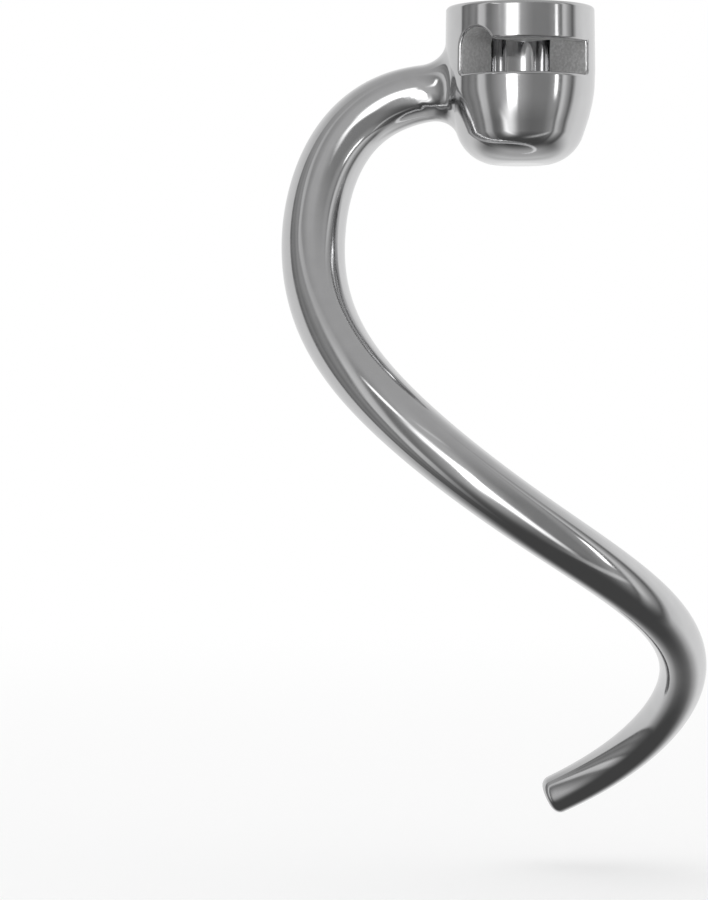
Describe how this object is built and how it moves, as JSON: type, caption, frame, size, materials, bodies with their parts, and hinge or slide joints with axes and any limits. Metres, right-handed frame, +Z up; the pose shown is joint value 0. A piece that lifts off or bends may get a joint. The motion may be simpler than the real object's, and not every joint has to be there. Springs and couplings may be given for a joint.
{
  "type": "stand mixer dough hook",
  "caption": "Spiral dough hook for a stand mixer: a tapering steel rod winding down from the side of a bell-shaped hub with a blind drive bore and a bayonet pin slot.",
  "frame": {"origin": "centre of the hub's top rim, on the axis of the drive shaft", "axes": "+Z up along the drive shaft, -Y out of the front of the pin slot, the rod leaves the hub towards -X"},
  "size_m": [0.0939, 0.0821, 0.1821],
  "materials": {
    "stainless_steel": "polished"
  },
  "bodies": {
    "root": {"dough_hook": "stainless_steel"}
  },
  "joints": []
}
